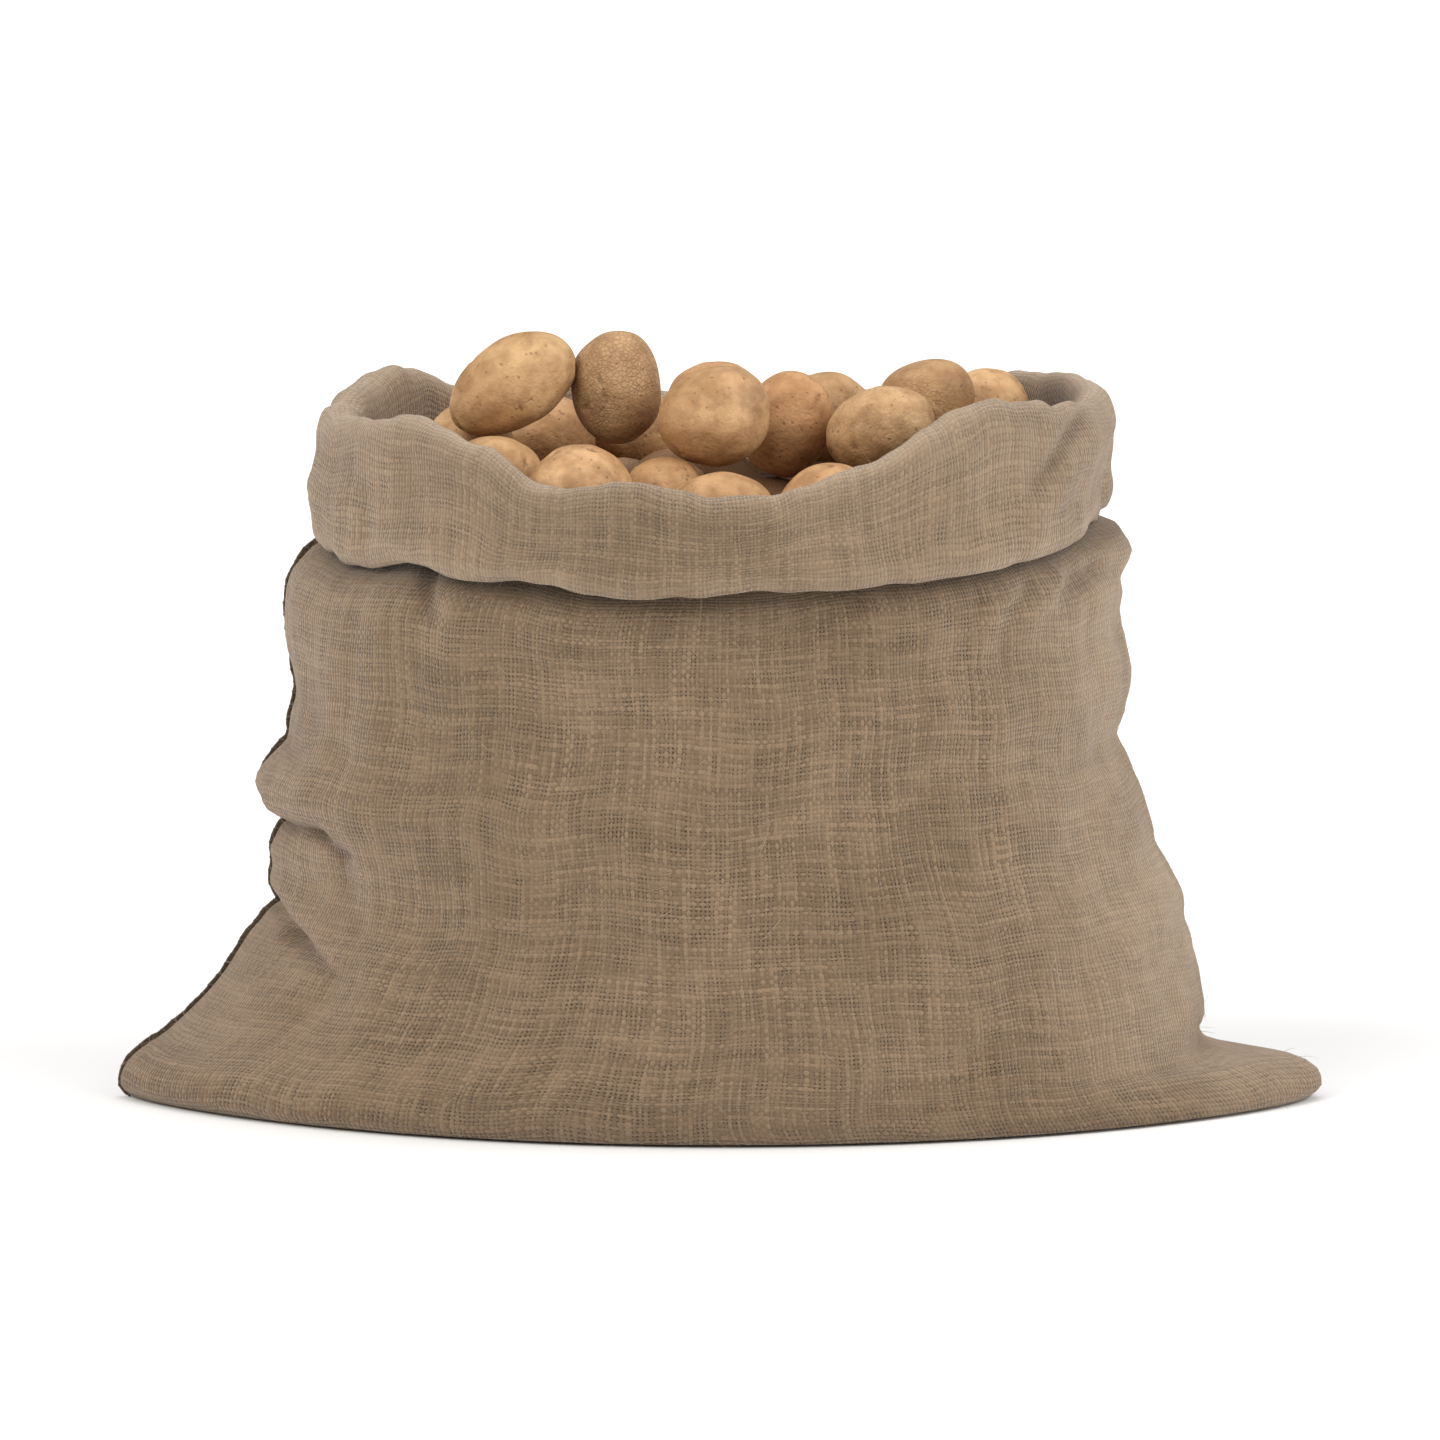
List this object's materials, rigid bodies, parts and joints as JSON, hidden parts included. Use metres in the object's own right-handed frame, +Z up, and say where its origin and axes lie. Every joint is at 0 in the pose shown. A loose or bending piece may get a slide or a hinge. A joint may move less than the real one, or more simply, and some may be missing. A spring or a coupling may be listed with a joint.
{
  "type": "hessian sack of potatoes",
  "caption": "Open hessian sack standing on its flat base, mouth turned down into a cuff, bottom corners out as ears, filled to the brim with potatoes.",
  "frame": {"origin": "middle of the sack's flat base, at the surface it stands on", "axes": "+X along the sack's longest side, from its left ear to its right ear; +Z up; the lower side of the mouth faces -Y"},
  "size_m": [0.586, 0.373, 0.3834],
  "materials": {
    "hessian": "coarse plain weave of natural jute yarn, matte",
    "potato_skin": "dry potato skin, matte, mottled tan"
  },
  "bodies": {
    "root": {"heap": "potato_skin", "potato_01": "potato_skin", "potato_02": "potato_skin", "potato_03": "potato_skin", "potato_04": "potato_skin", "potato_05": "potato_skin", "potato_06": "potato_skin", "potato_07": "potato_skin", "potato_08": "potato_skin", "potato_09": "potato_skin", "potato_10": "potato_skin", "potato_11": "potato_skin", "potato_12": "potato_skin", "potato_13": "potato_skin", "potato_14": "potato_skin", "potato_15": "potato_skin", "potato_16": "potato_skin", "potato_17": "potato_skin", "potato_18": "potato_skin", "potato_19": "potato_skin", "potato_20": "potato_skin", "potato_21": "potato_skin", "potato_22": "potato_skin", "potato_23": "potato_skin", "potato_24": "potato_skin", "potato_25": "potato_skin", "potato_26": "potato_skin", "sack": "hessian"}
  },
  "joints": []
}
